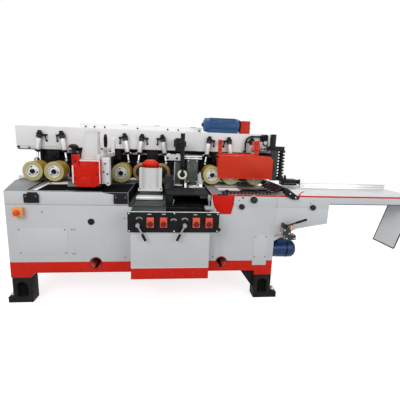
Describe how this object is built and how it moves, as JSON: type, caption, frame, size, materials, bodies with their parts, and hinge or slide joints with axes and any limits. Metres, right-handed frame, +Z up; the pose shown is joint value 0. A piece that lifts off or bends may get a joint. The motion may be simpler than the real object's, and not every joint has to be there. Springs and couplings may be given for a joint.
{
  "type": "four sided moulder",
  "caption": "Floor-standing four sided moulder: timber runs along a bed under spring-pressed feed rollers past lying and upright cutters.",
  "frame": {"origin": "centre of the four floor anchor holes, on the floor", "axes": "+X along the timber path towards the infeed end, +Y away from the operator, +Z up"},
  "size_m": [2.8755, 0.95, 1.24],
  "materials": {
    "painted_body": "satin light grey paint",
    "red_paint": "satin red paint",
    "bed_iron": "ground cast iron",
    "dark_iron": "dark painted cast iron",
    "bright_steel": "machined steel",
    "grey_casting": "grey paint",
    "black_plastic": "matte black",
    "black_paint": "black paint",
    "hose": "black rubber",
    "blue_paint": "blue paint",
    "tyre_amber": "cast polyurethane on a steel hub",
    "switch_orange": "orange plastic",
    "button_red": "dark red plastic",
    "estop_red": "red plastic",
    "nylon": "white nylon"
  },
  "bodies": {
    "base": {"base_frame": "painted_body", "base_skirts": "red_paint", "feet": "dark_iron", "lifting_tubes": "red_paint", "front_housing": "painted_body", "machine_bed": "bed_iron", "guide_fence": "grey_casting", "infeed_bracket": "painted_body", "spindle_cover": "red_paint", "front_fittings": "black_plastic", "control_panel": "black_paint", "switch_boxes": "switch_orange", "lift_columns": "bright_steel", "lower_motor": "blue_paint", "pump_body": "grey_casting"},
    "infeed": {"infeed_table": "bed_iron", "end_panel": "painted_body"},
    "beam": {"beam": "painted_body", "feed_gearboxes": "dark_iron", "air_cylinders": "bright_steel", "air_hoses": "hose", "feed_motor": "blue_paint", "top_spindle_housing": "painted_body", "top_hood": "red_paint", "guard_posts": "red_paint", "pressure_hangers": "black_paint", "hanger_spring": "black_paint"},
    "guard": {"roller_guard": "red_paint"},
    "press_wheel": {"press_wheel": "nylon"},
    "carriage": {"spindle_carriage": "grey_casting", "spindle_hood": "painted_body", "hood_cap": "red_paint"},
    "near_spindle": {"near_spindle": "bright_steel"},
    "far_spindle": {"far_spindle": "bright_steel"},
    "bottom_spindle": {"bottom_spindle": "bright_steel"},
    "top_spindle": {"top_spindle": "bright_steel"},
    "estop": {"estop_button": "estop_red"},
    "pump_lever": {"pump_lever": "black_paint"},
    "lock_lever_1": {"lock_lever_1": "black_plastic"},
    "lock_lever_2": {"lock_lever_2": "black_plastic"},
    "stop_button_1": {"stop_button_1": "button_red"},
    "stop_button_2": {"stop_button_2": "button_red"},
    "stop_button_3": {"stop_button_3": "button_red"},
    "stop_button_4": {"stop_button_4": "button_red"},
    "feed_head_1": {"feed_head_1": "dark_iron"},
    "feed_roller_1": {"feed_roller_1": "tyre_amber"},
    "feed_head_2": {"feed_head_2": "dark_iron"},
    "feed_roller_2": {"feed_roller_2": "tyre_amber"},
    "feed_head_3": {"feed_head_3": "dark_iron"},
    "feed_roller_3": {"feed_roller_3": "tyre_amber"},
    "feed_head_4": {"feed_head_4": "dark_iron"},
    "feed_roller_4": {"feed_roller_4": "tyre_amber"},
    "feed_head_5": {"feed_head_5": "dark_iron"},
    "feed_roller_5": {"feed_roller_5": "tyre_amber"},
    "feed_head_6": {"feed_head_6": "dark_iron"},
    "feed_roller_6": {"feed_roller_6": "tyre_amber"},
    "feed_head_7": {"feed_head_7": "dark_iron"},
    "feed_roller_7": {"feed_roller_7": "tyre_amber"},
    "feed_head_8": {"feed_head_8": "dark_iron"},
    "feed_roller_8": {"feed_roller_8": "tyre_amber"}
  },
  "joints": [
    {"name": "beam_lift", "type": "slide", "parent": "base", "child": "beam", "axis": [0, 0, 1], "range_m": [0, 0.1]},
    {"name": "press_1", "type": "slide", "parent": "beam", "child": "feed_head_1", "axis": [0.1483, 0, 0.9889], "range_m": [0, 0.012]},
    {"name": "press_2", "type": "slide", "parent": "beam", "child": "feed_head_2", "axis": [-0.1483, 0, 0.9889], "range_m": [0, 0.012]},
    {"name": "press_3", "type": "slide", "parent": "beam", "child": "feed_head_3", "axis": [-0.1483, 0, 0.9889], "range_m": [0, 0.012]},
    {"name": "press_4", "type": "slide", "parent": "beam", "child": "feed_head_4", "axis": [0.1483, 0, 0.9889], "range_m": [0, 0.012]},
    {"name": "press_5", "type": "slide", "parent": "beam", "child": "feed_head_5", "axis": [-0.1483, 0, 0.9889], "range_m": [0, 0.012]},
    {"name": "press_6", "type": "slide", "parent": "beam", "child": "feed_head_6", "axis": [0.1483, 0, 0.9889], "range_m": [0, 0.012]},
    {"name": "press_7", "type": "slide", "parent": "beam", "child": "feed_head_7", "axis": [-0.1483, 0, 0.9889], "range_m": [0, 0.012]},
    {"name": "press_8", "type": "slide", "parent": "beam", "child": "feed_head_8", "axis": [-0.1483, 0, 0.9889], "range_m": [0, 0.012]},
    {"name": "roller_spin_1", "type": "hinge", "parent": "feed_head_1", "child": "feed_roller_1", "pos_m": [-0.838, 0, 0.8], "axis": [0, 1, 0], "continuous": true},
    {"name": "roller_spin_2", "type": "hinge", "parent": "feed_head_2", "child": "feed_roller_2", "pos_m": [-0.693, 0, 0.8], "axis": [0, 1, 0], "continuous": true},
    {"name": "roller_spin_3", "type": "hinge", "parent": "feed_head_3", "child": "feed_roller_3", "pos_m": [-0.225, 0, 0.8], "axis": [0, 1, 0], "continuous": true},
    {"name": "roller_spin_4", "type": "hinge", "parent": "feed_head_4", "child": "feed_roller_4", "pos_m": [-0.0805, 0, 0.8], "axis": [0, 1, 0], "continuous": true},
    {"name": "roller_spin_5", "type": "hinge", "parent": "feed_head_5", "child": "feed_roller_5", "pos_m": [0.0645, 0, 0.8], "axis": [0, 1, 0], "continuous": true},
    {"name": "roller_spin_6", "type": "hinge", "parent": "feed_head_6", "child": "feed_roller_6", "pos_m": [0.449, 0, 0.8], "axis": [0, 1, 0], "continuous": true},
    {"name": "roller_spin_7", "type": "hinge", "parent": "feed_head_7", "child": "feed_roller_7", "pos_m": [0.594, 0, 0.8], "axis": [0, 1, 0], "continuous": true},
    {"name": "roller_spin_8", "type": "hinge", "parent": "feed_head_8", "child": "feed_roller_8", "pos_m": [0.783, 0, 0.8], "axis": [0, 1, 0], "continuous": true},
    {"name": "infeed_lift", "type": "slide", "parent": "base", "child": "infeed", "axis": [0, 0, 1], "range_m": [-0.008, 0]},
    {"name": "guard_swing", "type": "hinge", "parent": "beam", "child": "guard", "pos_m": [0.6, 0.103, 0.957], "axis": [-1, 0, 0], "range_deg": [0, 70]},
    {"name": "press_wheel_spin", "type": "hinge", "parent": "beam", "child": "press_wheel", "pos_m": [0.22, -0.07, 0.808], "axis": [0, 1, 0], "continuous": true},
    {"name": "carriage_slide", "type": "slide", "parent": "base", "child": "carriage", "axis": [0, 1, 0], "range_m": [-0.15, 0.015]},
    {"name": "near_spindle_spin", "type": "hinge", "parent": "carriage", "child": "near_spindle", "pos_m": [-0.007, -0.008, 0.7], "axis": [0, 0, 1], "continuous": true},
    {"name": "far_spindle_spin", "type": "hinge", "parent": "base", "child": "far_spindle", "pos_m": [0.215, 0.212, 0.7], "axis": [0, 0, 1], "continuous": true},
    {"name": "bottom_spindle_spin", "type": "hinge", "parent": "base", "child": "bottom_spindle", "pos_m": [0.32, 0.1, 0.6615], "axis": [0, 1, 0], "continuous": true},
    {"name": "top_spindle_spin", "type": "hinge", "parent": "beam", "child": "top_spindle", "pos_m": [-0.385, 0.1, 0.795], "axis": [0, 1, 0], "continuous": true},
    {"name": "stop_button_1_press", "type": "slide", "parent": "base", "child": "stop_button_1", "axis": [0, 1, 0], "range_m": [0, 0.004], "stiffness_N_per_m": 600},
    {"name": "stop_button_2_press", "type": "slide", "parent": "base", "child": "stop_button_2", "axis": [0, 1, 0], "range_m": [0, 0.004], "stiffness_N_per_m": 600},
    {"name": "stop_button_3_press", "type": "slide", "parent": "base", "child": "stop_button_3", "axis": [0, 1, 0], "range_m": [0, 0.004], "stiffness_N_per_m": 600},
    {"name": "stop_button_4_press", "type": "slide", "parent": "base", "child": "stop_button_4", "axis": [0, 1, 0], "range_m": [0, 0.004], "stiffness_N_per_m": 600},
    {"name": "estop_press", "type": "slide", "parent": "base", "child": "estop", "axis": [0, 1, 0], "range_m": [0, 0.005], "stiffness_N_per_m": 800},
    {"name": "lock_lever_1_turn", "type": "hinge", "parent": "base", "child": "lock_lever_1", "pos_m": [-0.056, -0.52, 0.553], "axis": [0, 1, 0], "range_deg": [-10, 55]},
    {"name": "lock_lever_2_turn", "type": "hinge", "parent": "base", "child": "lock_lever_2", "pos_m": [0.221, -0.52, 0.553], "axis": [0, 1, 0], "range_deg": [-55, 10]},
    {"name": "pump_stroke", "type": "hinge", "parent": "base", "child": "pump_lever", "pos_m": [0.88, -0.437, 0.53], "axis": [0, -1, 0], "range_deg": [0, 22]}
  ],
  "couplings": [
    {"joint": "roller_spin_2", "follows": "roller_spin_1", "ratio": 1},
    {"joint": "roller_spin_3", "follows": "roller_spin_1", "ratio": 1},
    {"joint": "roller_spin_4", "follows": "roller_spin_1", "ratio": 1},
    {"joint": "roller_spin_5", "follows": "roller_spin_1", "ratio": 1},
    {"joint": "roller_spin_6", "follows": "roller_spin_1", "ratio": 1},
    {"joint": "roller_spin_7", "follows": "roller_spin_1", "ratio": 1},
    {"joint": "roller_spin_8", "follows": "roller_spin_1", "ratio": 1}
  ]
}
